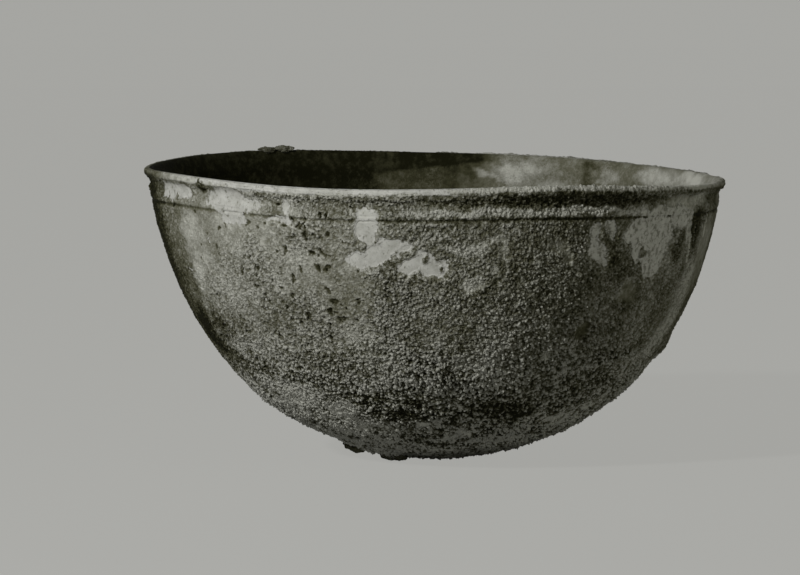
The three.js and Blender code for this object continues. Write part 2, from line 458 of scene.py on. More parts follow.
def sheet_marks():
    """Where the spun sheet has its rings of vertices: wide on the walls and narrow on the rim."""
    fine_from, fine_to = BODY_TOP_WAY - 0.5, LIP_WAY + 3.0
    low = np.linspace(0, fine_from, WALL_RINGS)
    rim = np.arange(fine_from + RIM_RING_STEP, fine_to, RIM_RING_STEP)
    high = np.linspace(fine_to, OUTLINE_WAY[-1], WALL_RINGS)
    return np.concatenate([low, rim, high])


def cut(height, drop, width, depth):
    """How deep a line cut round the bowl is at each height. It lies a drop below the top of the lip."""
    return depth * np.exp(-(((height - (BOWL_HEIGHT - drop)) / (width / 2)) ** 2))


def line_depth(height, way):
    """How deep the lines are cut. They are on the outside only."""
    lines = cut(height, *GROOVE) + cut(height, *FINE_LINE) + cut(height, *LIP_LINE)
    return np.where(way < LIP_WAY, lines, 0.0)


bowl_mesh = band("bowl_sheet", sheet_marks())
bowl_places = vertices_of(bowl_mesh)
bowl_way = stored(bowl_mesh, "way")
bowl_relief = DENT_DEPTH * waves(bowl_places, DENT_PITCH) + WEAR_DEPTH * waves(bowl_places, WEAR_PITCH, 1)
bowl_relief -= line_depth(bowl_places[:, 2], bowl_way)
bowl_relief[np.linalg.norm(bowl_places[:, :2], axis=1) < STAND_RADIUS] = 0.0
bowl_places = bowl_places + outward(bowl_places, bowl_way) * (bowl_relief - inset(bowl_way))[:, None]
bowl_places[:, 2] = np.maximum(bowl_places[:, 2], 0.0)
keep_value(bowl_mesh, "stain", stain_at(azimuth_of(bowl_places)))
bowl_sheet = finished(bowl_mesh, "bowl_sheet", as_found(bowl_places), bronze)
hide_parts("bowl")

# Crust on the outside
# Copper corrosion mixed with soil grew over the bowl as a granular skin a few tenths of a millimetre thick.
# It came off here and there, where the pale original surface shows as patches with ragged edges.
GRID = 0.15
BACK_GRID = 0.3
BASE_GRID = 0.22
COARSE_GRAIN = 0.58
FINE_GRAIN = 0.35
CLUMP = 2.6
CLUMP_HEIGHT = 0.18
SHADER_GRAIN = 0.4
RELIEF = 0.35
# The skin's thickness between its grains, its thinnest beside a bare patch, how deep it dips under the sheet
# inside the patch, and how far inside it does so.
SKIN = 0.06
THINNEST = 0.02
BURIED = 0.3
BARE_CORE = 0.35
PATCH_BLEND = 0.3
GROOVE_GAP = 0.6
PIT_DEPTH = 0.3
# The skins outside and inside meet this far past the lip's highest line, and are equally thick there.
SEAM = 0.3
SEAM_SKIN = 0.1
# Past this azimuth, to either side, the wall is out of sight and its bare patches lie by chance.
SEEN_TO = 97
# The lip is black round this azimuth, at the back left: partly dark patina and partly painted shade.
BLACK_AND_SHADED_LIP = 235

# Bare patches: azimuth in degrees, way up the wall from the middle of the base, width and height.
BARE_PATCHES = (
    (-38.0, 84.5, 30.0, 2.2),
    (-14.0, 84.7, 34.0, 1.8),
    (-66.5, 81.0, 6.5, 3.6),
    (-60.0, 81.4, 6.5, 3.0),
    (-45.0, 80.6, 10.5, 4.6),
    (-44.6, 77.8, 6.6, 3.4),
    (-39.0, 80.6, 5.0, 2.0),
    (-30.4, 80.0, 1.8, 3.4),
    (-32.4, 77.9, 5.6, 1.1),
    (-13.6, 79.9, 3.0, 2.8),
    (-13.4, 77.0, 4.9, 3.6),
    (-13.0, 75.4, 3.2, 2.4),
    (-16.2, 71.5, 4.6, 3.8),
    (-12.2, 72.2, 4.4, 4.0),
    (-9.0, 73.8, 3.6, 3.0),
    (-6.2, 74.1, 3.0, 1.6),
    (-5.4, 70.4, 4.6, 3.4),
    (-3.4, 72.0, 2.4, 1.6),
    (-0.8, 69.9, 5.2, 3.2),
    (32.4, 75.6, 2.4, 3.8),
    (33.8, 72.6, 4.0, 2.8),
    (34.8, 70.6, 2.2, 2.4),
    (36.4, 77.2, 2.6, 2.8),
    (37.4, 75.2, 1.2, 2.4),
    (43.8, 75.8, 7.0, 5.0),
    (48.4, 75.6, 9.0, 6.6),
    (46.6, 72.0, 7.4, 4.4),
    (49.4, 69.8, 5.0, 4.2),
    (50.4, 68.0, 3.8, 3.8),
    (49.0, 79.2, 15.0, 2.6),
    (50.8, 74.8, 8.0, 7.4),
    (51.6, 71.2, 4.6, 5.0),
    (58.0, 78.4, 9.0, 4.6),
    (61.8, 76.4, 2.6, 5.0),
)
# Leftover crust inside the patches.
CRUST_ISLANDS = (
    (-6.4, 72.6, 3.2, 1.5),
    (46.0, 71.6, 1.7, 1.9),
    (-2.6, 70.9, 1.6, 1.0),
    (0.6, 69.6, 1.0, 1.2),
    (40.4, 77.4, 3.0, 2.6),
)
# Zones where the crust is paler or darker than elsewhere: how much, and how rough it is there.
TONE_ZONES = (
    # The first zone darkens the neck under the lip at the right: partly darker crust, partly painted shade
    # cast by the lip's overhang.
    (26.0, 82.4, 58.0, 3.8, -0.32, 1.0),
    # The next zones darken a band along the lower left outline, down to the bottom front: painted shade where
    # the wall turns under, away from the light.
    (-68.0, 63.0, 8.0, 13.0, -0.22, 0.7),
    (-70.0, 54.0, 11.0, 12.0, -0.5, 0.7),
    (-65.0, 47.5, 13.0, 9.0, -0.45, 0.8),
    (-61.0, 41.5, 12.0, 8.0, -0.3, 1.0),
    (-45.0, 46.4, 11.0, 8.0, -0.1, 1.0),
    (-38.0, 44.6, 18.0, 6.0, -0.38, 1.2),
    (-27.0, 40.4, 18.0, 5.0, -0.38, 1.3),
    (-13.0, 35.4, 17.0, 5.6, -0.55, 1.3),
    (-22.0, 38.4, 8.0, 4.0, -0.3, 1.3),
    (-9.0, 37.2, 14.0, 7.0, -0.35, 1.3),
    (12.0, 40.5, 6.0, 6.0, -0.25, 1.0),
    (28.0, 37.0, 9.0, 6.0, -0.2, 1.0),
    (-53.0, 46.0, 8.0, 7.0, -0.2, 1.0),
    (-60.2, 74.5, 8.0, 9.0, 0.1, 0.3),
    (19.0, 62.0, 12.0, 22.0, -0.08, 1.1),
    (1.0, 47.0, 12.0, 6.0, -0.12, 1.5),
    (17.0, 41.6, 8.0, 4.0, -0.12, 1.2),
    (-38.0, 31.0, 24.0, 3.6, 0.0, 0.4),
    (20.0, 79.9, 60.0, 2.0, 0.4, 1.0),
    # Paler crust on the lip's top at the right: partly pale grains, partly a painted highlight where the top
    # faces the light.
    (20.0, 84.9, 66.0, 2.2, 0.2, 1.2),
    (0.0, 46.0, 24.0, 18.0, 0.0, 1.5),
    (-34.0, 34.0, 34.0, 20.0, 0.08, 1.0),
    (52.0, 36.0, 24.0, 14.0, 0.02, 0.9),
    (-60.0, 84.2, 30.0, 3.6, -0.12, 0.4),
    (-51.6, 83.2, 3.0, 3.4, -0.6, 1.0),
    # Paler crust on the lip's top at the far right: partly pale grains, partly a painted highlight where the
    # top faces the light.
    (63.0, 84.9, 26.0, 2.0, 0.5, 0.6),
    (51.0, 60.0, 10.0, 10.0, 0.14, 0.8),
    (4.8, 72.6, 4.0, 2.2, 0.3, 0.4),
    (8.0, 73.2, 4.0, 2.2, 0.32, 0.4),
    (11.0, 74.8, 6.0, 2.0, 0.32, 0.5),
    (13.4, 73.2, 2.4, 3.6, 0.3, 0.5),
    (7.4, 67.0, 5.0, 3.2, 0.4, 0.4),
    (7.5, 71.0, 13.0, 10.0, 0.1, 0.9),
    (11.6, 69.5, 2.4, 2.2, 0.28, 0.5),
    (25.2, 73.8, 2.6, 3.6, 0.2, 0.4),
    (26.6, 71.6, 2.6, 3.2, 0.2, 0.4),
    (-50.0, 72.0, 42.0, 24.0, 0.1, 0.3),
    (-55.0, 63.0, 30.0, 14.0, 0.05, 0.6),
    (-38.0, 62.0, 40.0, 26.0, 0.0, 0.8),
    (-27.0, 76.0, 9.0, 14.0, 0.04, 1.0),
    (-58.0, 72.0, 12.0, 14.0, 0.17, 0.3),
    (17.0, 77.5, 14.0, 3.2, 0.08, 1.0),
    (37.0, 63.0, 8.0, 8.0, 0.1, 1.0),
    (-40.0, 69.0, 8.0, 14.0, -0.08, 1.0),
    (-28.0, 62.0, 12.0, 10.0, -0.06, 0.6),
    (-61.0, 65.5, 5.0, 7.0, 0.25, 0.5),
    (-23.0, 66.0, 20.0, 18.0, 0.03, 0.45),
    (-18.0, 57.0, 9.0, 7.0, 0.16, 0.6),
    (-48.0, 41.0, 26.0, 9.0, 0.16, 0.9),
    (-30.0, 50.0, 30.0, 6.0, -0.1, 1.0),
    (-14.0, 50.0, 12.0, 6.0, 0.16, 1.0),
    (8.0, 50.0, 10.0, 8.0, 0.14, 1.0),
    (-12.0, 41.0, 22.0, 5.0, -0.14, 1.0),
    (2.0, 40.0, 14.0, 6.0, -0.2, 1.0),
    (-25.0, 36.0, 22.0, 6.0, 0.1, 1.0),
    (-19.2, 42.6, 3.6, 2.6, 0.3, 0.6),
    (-5.0, 32.1, 2.6, 2.4, 0.35, 0.5),
    (6.4, 38.6, 1.8, 1.8, 0.4, 0.7),
    (25.6, 50.8, 2.4, 2.2, 0.3, 0.8),
    (42.4, 32.8, 8.4, 4.4, 0.3, 0.6),
    (58.2, 36.9, 14.0, 4.0, 0.25, 0.7),
    (70.0, 58.0, 9.0, 14.0, 0.2, 0.4),
    (74.0, 70.0, 13.0, 20.0, 0.25, 0.15),
    (86.0, 66.0, 8.0, 34.0, 0.35, 0.1),
    (73.0, 79.6, 6.0, 7.0, 0.08, 0.7),
    (83.0, 79.6, 9.0, 10.0, 0.1, 0.1),
    (69.0, 57.0, 11.0, 20.0, 0.2, 0.35),
    (66.4, 66.0, 6.0, 10.0, 0.3, 0.4),
    (64.0, 52.6, 7.0, 9.0, 0.15, 0.6),
    (43.0, 64.6, 8.0, 6.0, 0.3, 0.6),
    (36.0, 61.1, 11.0, 9.0, 0.14, 1.0),
    (39.6, 73.4, 4.0, 3.6, 0.12, 0.9),
    (23.0, 73.4, 3.4, 2.4, 0.16, 0.7),
    (-9.0, 77.4, 4.0, 5.0, 0.14, 0.9),
    (-25.0, 79.4, 9.0, 3.4, 0.1, 0.9),
    (-29.0, 60.0, 11.0, 13.0, 0.07, 1.0),
    (-46.0, 62.5, 18.0, 7.0, 0.06, 0.8),
    (60.2, 49.4, 10.0, 5.0, 0.12, 0.8),
    (-34.0, 34.9, 5.2, 7.0, 0.16, 0.7),
    (-23.6, 29.8, 7.5, 5.0, 0.2, 0.6),
    (-6.0, 32.1, 3.0, 2.6, 0.26, 0.6),
    (-46.2, 39.3, 5.0, 3.6, 0.12, 0.7),
    (41.2, 33.4, 7.6, 5.0, 0.22, 0.6),
    (12.4, 50.1, 4.4, 15.0, 0.1, 1.3),
    (5.4, 39.1, 1.8, 3.2, 0.4, 0.7),
    (12.0, 29.3, 3.0, 3.2, 0.25, 0.7),
    (59.0, 81.4, 20.0, 4.2, 0.38, 0.3),
    (40.0, 66.0, 22.0, 14.0, -0.1, 0.9),
    (45.2, 63.9, 6.0, 5.6, -0.05, 0.2),
    (33.6, 56.6, 4.0, 4.4, -0.15, 0.2),
    (60.0, 60.0, 26.0, 40.0, 0.02, 0.8),
    (24.0, 36.0, 26.0, 12.0, -0.26, 0.9),
    (12.0, 35.0, 16.0, 11.0, -0.24, 1.0),
    (25.6, 42.0, 13.0, 16.0, -0.18, 1.0),
    (43.0, 43.7, 15.0, 9.0, -0.3, 1.0),
    (47.0, 38.4, 9.0, 5.0, -0.2, 1.0),
    # These two add to the painted shade along the lower left outline, where the wall turns under.
    (-60.0, 55.0, 9.0, 8.0, -0.25, 1.0),
    (-52.0, 47.6, 10.0, 8.0, -0.25, 1.0),
    (66.0, 81.4, 8.0, 5.0, 0.2, 0.5),
    (-8.0, 84.5, 28.0, 2.2, -0.14, 0.8),
    (59.0, 70.0, 12.0, 10.0, 0.1, 0.7),
    (62.0, 59.0, 10.0, 12.0, 0.08, 0.6),
    (44.4, 50.3, 18.0, 4.4, -0.22, 1.2),
    (0.0, 22.0, 30.0, 8.0, -0.12, 1.0),
    (58.6, 72.6, 4.4, 8.4, -0.35, 0.9),
    (65.0, 76.2, 4.2, 9.6, -0.38, 0.9),
    (38.0, 72.0, 4.0, 9.0, -0.12, 0.8),
)
# Scratches and turning marks: azimuth and way of both ends, width and how much paler.
STREAKS = (
    (-51.8, 50.8, -49.8, 49.6, 0.5, 0.3),
    (-53.6, 48.4, -51.0, 47.4, 0.6, 0.3),
    (-55.6, 43.2, -54.2, 39.2, 0.45, 0.45),
    (-45.8, 40.3, -43.8, 37.4, 0.8, 0.35),
    (-42.8, 39.9, -40.4, 38.6, 0.6, 0.3),
    (-26.4, 78.0, -26.6, 75.6, 0.5, -0.6),
    (62.4, 75.6, 64.0, 69.4, 0.9, 0.5),
    (70.0, 78.0, 71.5, 74.0, 1.2, 0.3),
)
# Zones with many small pits: azimuth, way, width and height.
PITTED_ZONES = (
    (-41.0, 67.5, 8.0, 10.0),
    (-25.0, 70.0, 8.0, 10.0),
    (-30.0, 60.0, 30.0, 14.0),
    (-28.0, 78.0, 16.0, 5.0),
)
# Single deep pits.
DEEP_PITS = (
    (-22.4, 62.8, 1.3, 1.5),
    (-23.6, 60.7, 1.7, 1.7),
    (-39.8, 68.9, 1.2, 1.4),
    (-40.6, 67.0, 1.2, 0.9),
    (-25.0, 72.2, 1.3, 0.9),
    (-24.6, 69.9, 1.1, 1.4),
    (-22.8, 69.6, 1.3, 1.1),
    (-29.3, 69.0, 0.7, 1.8),
    (-34.6, 65.4, 0.8, 0.7),
    (-40.4, 77.1, 0.9, 1.1),
    (-56.6, 77.5, 0.9, 0.8),
    (-64.4, 78.5, 1.3, 1.0),
    (-48.4, 75.2, 0.8, 0.8),
    (-52.5, 74.6, 0.7, 0.6),
    (-26.9, 75.8, 0.7, 1.8),
    (-29.3, 75.2, 1.6, 0.6),
    (-22.8, 80.2, 0.9, 0.7),
    (-39.2, 79.7, 0.9, 0.8),
    (-32.2, 80.7, 1.0, 0.7),
    (-38.4, 62.0, 0.8, 1.0),
)
# Single nubs that stand out: azimuth, way, width and height above the skin.
# The widest are low skirts of crust round the lumps underneath.
NUBS = (
    (-90.0, 80.6, 1.6, 0.5),
    (92.0, 53.0, 1.3, 0.45),
    (91.0, 62.5, 1.0, 0.35),
    (84.0, 40.0, 1.2, 0.4),
    (60.0, 17.0, 1.4, 0.35),
    (12.0, 9.5, 1.3, 0.45),
    (182.0, 85.0, 1.0, 0.4),
    (88.0, 83.0, 1.4, 0.4),
    (87.0, 49.4, 7.0, 0.8),
    (-63.0, 17.9, 7.5, 0.75),
    (-47.0, 13.0, 8.5, 0.75),
)


def turned(azimuth, start):
    """Degrees from a start direction to each azimuth, between -180 and 180."""
    return (azimuth - start + 180) % 360 - 180


def spot(wall, oval, sway=(0.0, 0.0)):
    """How far inside an oval on the wall each place is, as a share: 1 in its middle and 0 on its edge."""
    azimuth, way, radius = wall
    centre_azimuth, centre_way, width, height = oval
    across = np.radians(turned(azimuth, centre_azimuth)) * radius + sway[0]
    up = way - centre_way + sway[1]
    return 1 - np.hypot(across / (width / 2), up / (height / 2))


TEN_BITS = np.uint32(1023)


def grains(places, pitch, salt):
    """Domes packed side by side, about one pitch apart, each with a chance of its own from 0 to 1."""
    spots = places.T / pitch
    home = np.floor(spots)
    part = spots - home
    x, y, z = home.astype(np.int64).astype(np.uint32)
    nearest = np.full(len(places), 9.0)
    chance = np.zeros(len(places), np.uint32)
    for i, j, k in np.ndindex(3, 3, 3):
        number = number_of(x + np.uint32(i), y + np.uint32(j), z + np.uint32(k), salt)
        distance = np.zeros(len(places))
        for axis, cell in enumerate((i, j, k)):
            peak = (number >> np.uint32(10 * axis) & TEN_BITS) / TEN_BITS
            distance += (part[axis] + 1 - cell - peak) ** 2
        closer = distance < nearest
        nearest[closer] = distance[closer]
        chance[closer] = number[closer]
    chance = (chance * np.uint32(SALT_FACTOR) >> np.uint32(8)) / 2.0**24
    return np.clip(1 - nearest / 0.7, 0, 1) ** 0.8, chance


def ragged_grains(places, pitch, salt):
    """The same with ragged outlines. Few of them are high."""
    sway = np.stack([waves(places, 1.5 * pitch, salt + i, 2) for i in (1, 2, 3)], 1)
    grain, chance = grains(places + 0.22 * pitch * sway, pitch, salt)
    return grain * (0.2 + 0.8 * chance), chance


def streak(wall, start, end, width):
    """How near each place is to a short straight line on the wall, as a share."""
    azimuth, way, radius = wall
    across = np.radians(azimuth - start[0]) * radius
    up = way - start[1]
    line = np.array([np.radians(end[0] - start[0]) * outline_at(start[1])[0], end[1] - start[1]])
    along = np.clip((across * line[0] + up * line[1]) / (line @ line), 0, 1)
    apart = np.hypot(across - along * line[0], up - along * line[1])
    return soft_step(apart, width / 2, width / 4)


def bareness(wall, sway):
    """How far inside a bare patch each place is, in millimetres, and negative outside."""
    joined = np.full(len(wall[0]), 1e-7)
    for oval in BARE_PATCHES:
        joined += np.exp(spot(wall, oval, sway) * min(oval[2:]) / 2 / PATCH_BLEND)
    bare = PATCH_BLEND * np.log(joined)
    for oval in CRUST_ISLANDS:
        bare = np.minimum(bare, -spot(wall, oval, sway) * min(oval[2:]) / 2)
    return bare


def left_share(azimuth):
    """How much each direction belongs to the paler front left, from 0 to 1."""
    return soft_step(-azimuth, 0.0, 40.0) * soft_step(-azimuth, 78.0, 62.0)


def back_share(azimuth):
    return soft_step(np.abs(azimuth), 90.0, 110.0)


def low_share(way):
    """How much each place belongs to the rougher crust low on the wall, from 0 to 1."""
    return soft_step(way, 62.0, 34.0)


def lip_share(places, azimuth, way):
    """How much each place belongs to the lip, from 0 to 1. Its lower border is ragged."""
    border = LIP_WAY - 1.15 - 0.7 * soft_step(-azimuth, -8.0, 12.0) + 0.12 * waves(places, 0.9, 31, 2)
    return soft_step(way, border - 0.2, border + 0.2)


def ground_tone(places, azimuth, way):
    """How pale the crust is on each side, low down, along the left edge, on the lip and in blotches."""
    low = low_share(way)
    paleness = 0.38 + 0.16 * left_share(azimuth) - 0.07 * soft_step(azimuth, 5.0, 35.0) + 0.14 * low
    paleness += 0.11 * waves(places, 14.0, 6, 3) + 0.09 * waves(places, 4.5, 7, 3)
    left_edge = soft_step(-azimuth, 66.0, 80.0) * (1 - back_share(azimuth)) * soft_step(way, 84.6, 83.6)
    paleness -= 0.4 * left_edge
    # The lip's crust is paler, partly from pale grains and partly as a painted highlight on its top; round
    # the back left it is black instead, partly dark patina and partly painted shade.
    black_and_shaded_side = soft_step(np.abs(turned(azimuth, BLACK_AND_SHADED_LIP)), 72.0, 50.0)
    on_lip = 0.42 - 0.37 * black_and_shaded_side + 0.12 * waves(places, 1.6, 34, 3)
    paleness += lip_share(places, azimuth, way) * on_lip
    paleness += 0.1 * low * waves(places, 1.5, 32, 2)
    under = soft_step(way, 44.0, 31.0)
    return paleness + under * (0.3 * waves(places, 3.0, 35, 2) + 0.3 * waves(places, 1.3, 36, 2) - 0.08)


def tone_and_roughness(places, wall, sway):
    """How pale and how rough the crust is, with all its zones and streaks."""
    azimuth, way, _ = wall
    paleness = ground_tone(places, azimuth, way)
    rough = 0.9 + 0.3 * low_share(way) + 0.3 * waves(places, 9.0, 8, 2)
    for *oval, paler, zone_rough in TONE_ZONES:
        share = soft_step(spot(wall, oval, sway), -0.1, 0.5)
        paleness += paler * share
        rough += (zone_rough - rough) * share
    for from_azimuth, from_way, to_azimuth, to_way, width, paler in STREAKS:
        paleness += paler * streak(wall, (from_azimuth, from_way), (to_azimuth, to_way), width)
    beside_edge = soft_step(np.abs(azimuth), 64.0, 80.0) * soft_step(way, 38.0, 52.0)
    beside_edge *= 1 - back_share(azimuth)
    return paleness, np.clip(rough * (1 - 0.5 * beside_edge), 0.1, 1.5)


def graining(places, wall, rough):
    """The thickness of the skin with its grains and clumps, and how much paler the grains are."""
    azimuth, way, _ = wall
    low = low_share(way)
    coarse, coarse_chance = ragged_grains(places, COARSE_GRAIN, 60)
    fine = ragged_grains(places, FINE_GRAIN, 70)[0]
    clump, clump_chance = grains(places, CLUMP, 20)
    sand = 0.38 * coarse + 0.55 * fine + 0.06 * waves(places, 0.45, 30, 1)
    thickness = SKIN + rough * (0.85 * sand + 0.05 * waves(places, 2.2, 9, 2))
    clumped = clump_chance > 0.72 - 0.2 * left_share(azimuth)
    thickness += rough * np.where(clumped, CLUMP_HEIGHT * clump, 0.0)
    own = (0.12 + 0.5 * low) * (coarse_chance - 0.5)
    return thickness, rough * ((1.0 + 1.1 * low) * (sand - 0.21) + own) - 0.1 * low


def pitting(places, wall, sway):
    """How far down in a pit each place is, as a share of a pit's depth, and how much painted shade it gets in
    and round the pit.
    """
    azimuth, way, _ = wall
    threshold = np.full(len(way), 0.84)
    for oval in PITTED_ZONES:
        threshold -= 0.3 * soft_step(spot(wall, oval, sway), -0.1, 0.5)
    small = soft_step(-waves(places, 1.3, 25, 3), threshold, threshold + 0.2)
    small *= (1 - lip_share(places, azimuth, way)) * (1 - 0.7 * soft_step(azimuth, -5.0, 15.0))
    deep = [spot(wall, oval, sway) for oval in DEEP_PITS]
    hollow = small + sum(soft_step(share, 0.0, 0.4) for share in deep)
    dark = small + sum(soft_step(share, -0.2, 0.3) for share in deep)
    return hollow, dark


def outer_skin(places, way):
    """The crust at places outside on the sheet: its thickness, and numbers for its material."""
    azimuth = azimuth_of(places)
    wall = (azimuth, way, np.hypot(places[:, 0], places[:, 1]))
    sway = (0.8 * waves(places, 2.6, 2, 3), 0.8 * waves(places, 2.6, 3, 3))
    gap = cut(places[:, 2], GROOVE[0], GROOVE_GAP, 1.0)

    unseen = 5.0 * (waves(places, 9.0, 4, 3) - 0.7)
    bare = np.where(np.abs(azimuth) > SEEN_TO, unseen, bareness(wall, sway)) + 0.3 * waves(places, 1.1, 5, 2)
    # Along the groove at the right the crust's dark colour shows through the bare patches, as a painted shade
    # line in the cut.
    bare -= 0.55 * gap * soft_step(azimuth, 5.0, 35.0) * soft_step(azimuth, 64.0, 50.0)

    paleness, rough = tone_and_roughness(places, wall, sway)
    thickness, grains_paler = graining(places, wall, rough)
    hollow, dark = pitting(places, wall, sway)
    thickness -= PIT_DEPTH * hollow
    # The pits get painted shade on top of the grains' own paleness.
    paleness += grains_paler - 0.5 * dark
    for nub_azimuth, nub_way, width, height in NUBS:
        share = spot(wall, (nub_azimuth, nub_way, width, width))
        thickness += height * np.sqrt(np.clip(share, 0, 1))

    thickness *= 1 - 0.85 * gap
    # The crust is darker along the groove: painted shade in the cut.
    paleness -= 0.34 * gap
    thickness *= 1 - (0.65 - 0.3 * soft_step(azimuth, 0.0, 15.0)) * soft_step(way, 82.8, 83.8)
    beside = soft_step(-bare, 1.8, 0.2) * np.clip(0.45 + 0.6 * waves(places, 5.0, 18, 2), 0, 1)
    paleness += 0.1 * beside
    rough *= 1 - 0.5 * beside
    thickness = np.maximum(thickness * (0.1 + 0.9 * soft_step(-bare, -0.3, 0.8)), THINNEST)
    covered = soft_step(bare, BARE_CORE + 0.2, BARE_CORE)
    thickness = thickness * covered - BURIED * (1 - covered)
    seam = soft_step(way, LIP_WAY - 0.3, LIP_WAY + SEAM)
    return thickness * (1 - seam) + SEAM_SKIN * seam, {
        "paleness": paleness,
        "rough": rough,
        "bare": np.clip(bare, -1, 1),
        "stain": stain_at(azimuth),
    }


# Colours of the crust by its paleness, from the hollows to the palest grains.
CRUST_COLOURS = (
    (0.0, (0.006, 0.006, 0.002)),
    (0.25, (0.046, 0.045, 0.024)),
    (0.5, (0.127, 0.125, 0.09)),
    (0.75, (0.27, 0.27, 0.232)),
    (1.0, (0.45, 0.45, 0.4)),
)


def crust_finish():
    """Granular corrosion: near black olive in the hollows, and grey to pale on the grains."""
    m = Material("crust")
    rough = m.value("rough")
    distance, own = m.cells(SHADER_GRAIN, 0.5)
    dome = m.ramp(distance, (0.0, 1.0), (0.62, 0.0))
    uneven = m.math("MULTIPLY", m.math("SUBTRACT", own, 0.5), m.math("MULTIPLY", rough, 0.25))
    speckled = m.math("MULTIPLY", m.math("SUBTRACT", m.speckle(1.4, 5.0, 0.65), 0.5), 0.6)
    gritty = m.math("SUBTRACT", m.speckle(0.28, 2.0, 0.7), 0.5)
    gritty = m.math("MULTIPLY", gritty, m.math("MULTIPLY", rough, 0.9))
    paleness = m.math("ADD", m.math("ADD", m.value("paleness"), uneven), m.math("ADD", speckled, gritty))
    colour = m.ramp(paleness, *CRUST_COLOURS)
    sand = m.ramp(m.speckle(0.3, 3.0, 0.6), (0.28, 0.0), (0.72, 1.0))
    dome = m.math("MULTIPLY", m.math("MULTIPLY", dome, own), rough)
    height = m.math("ADD", m.math("MULTIPLY", sand, 0.7), m.math("MULTIPLY", dome, 0.5))
    ragged = m.math("MULTIPLY", m.math("SUBTRACT", m.speckle(0.5, 3.0, 0.7), 0.5), 0.65)
    bare = m.math("ADD", m.math("MULTIPLY", m.value("bare"), 0.5), m.math("ADD", ragged, 0.5))
    bare = m.ramp(bare, (0.46, 0.0), (0.56, 1.0))
    colour = m.mix(bare, colour, patina(m))
    height = m.math("MULTIPLY", height, m.math("ADD", 0.15, m.math("MULTIPLY", rough, 0.85)))
    m.bump(m.math("MULTIPLY", height, m.math("SUBTRACT", 1.0, bare)), RELIEF)
    return m.done(colour, 0.85, 0.12)


crust = crust_finish()


def crust_piece(name, skin, way_from, way_to, start, turn, widest, grid):
    """One piece of a skin of crust, on a band of the sheet spun through part of a turn, one grid a step."""
    steps = int(np.ceil(np.radians(turn) * widest / grid))
    marks = np.linspace(way_from, way_to, int(np.ceil((way_to - way_from) / grid)) + 1)
    mesh = band(name, marks, start, turn, steps)
    places = vertices_of(mesh)
    way = stored(mesh, "way")
    thickness, looks = skin(places, way)
    places = as_found(places + outward(places, way) * (thickness - inset(way))[:, None])
    places[:, 2] = np.maximum(places[:, 2], 0.0)
    for value_name, values in looks.items():
        keep_value(mesh, value_name, values)
    piece = finished(mesh, name, places, crust)


WALL_WAY = 42.0
BASE_WAY = 20.0
LOWER_RADIUS = 38.0
BASE_RADIUS = 15.0
# The wall's sectors: side, start azimuth, turn and grid.
WALL_SECTORS = (
    ("left", -95.0, 47.5, GRID),
    ("front_left", -47.5, 47.5, GRID),
    ("front_right", 0.0, 47.5, GRID),
    ("right", 47.5, 47.5, GRID),
    ("back_right", 95.0, 85.0, BACK_GRID),
    ("back_left", 180.0, 85.0, BACK_GRID),
)
LOWER_SECTORS = (
    ("left", -95.0, 95.0, GRID),
    ("right", 0.0, 95.0, GRID),
    ("back", 95.0, 170.0, BACK_GRID),
)
for side, start, turn, grid in WALL_SECTORS:
    crust_piece(f"crust_wall_{side}", outer_skin, WALL_WAY, LIP_WAY + SEAM, start, turn, LIP_RADIUS, grid)
for side, start, turn, grid in LOWER_SECTORS:
    crust_piece(f"crust_lower_{side}", outer_skin, BASE_WAY, WALL_WAY, start, turn, LOWER_RADIUS, grid)
crust_piece("crust_base", outer_skin, 0.0, BASE_WAY, 0.0, 360.0, BASE_RADIUS, BASE_GRID)

# Crust on the inside
# The same corrosion lies thinner and smoother in the bowl. It is black at the left, partly dark patina and
# partly painted shade, and mottled at the right.
INNER_GRID = 0.4
INNER_SKIN = 0.16
INNER_END_WAY = OUTLINE_WAY[-1]
INNER_BASE_WAY = INNER_END_WAY - 30.0
INNER_BASE_RADIUS = 22.0
# Round this azimuth at the back left the inside is black: partly dark patina, partly painted shade.
BLACK_AND_SHADED_INSIDE = 240
# Pale and dark blotches under the lip: azimuth, way past the lip, width, height and how much paler.
INNER_ZONES = (
    (169.2, 4.6, 3.0, 2.2, 0.4),
    (165.4, 4.4, 2.4, 3.4, -0.25),
    (112.0, 1.6, 34.0, 2.8, 0.08),
    (164.0, 4.6, 9.0, 4.0, 0.35),
    (184.0, 6.0, 24.0, 8.0, 0.12),
    (158.0, 2.4, 9.0, 3.0, 0.2),
    (143.4, 3.5, 5.0, 6.0, -0.24),
    (140.0, 3.8, 8.0, 3.6, 0.2),
    (125.0, 3.0, 14.0, 4.0, 0.25),
    (110.0, 3.0, 16.0, 6.0, 0.2),
    (152.0, 8.0, 12.0, 5.0, 0.15),
    (100.0, 20.0, 20.0, 18.0, 0.2),
    (60.0, 30.0, 22.0, 16.0, 0.15),
    (250.0, 34.0, 18.0, 14.0, 0.12),
)


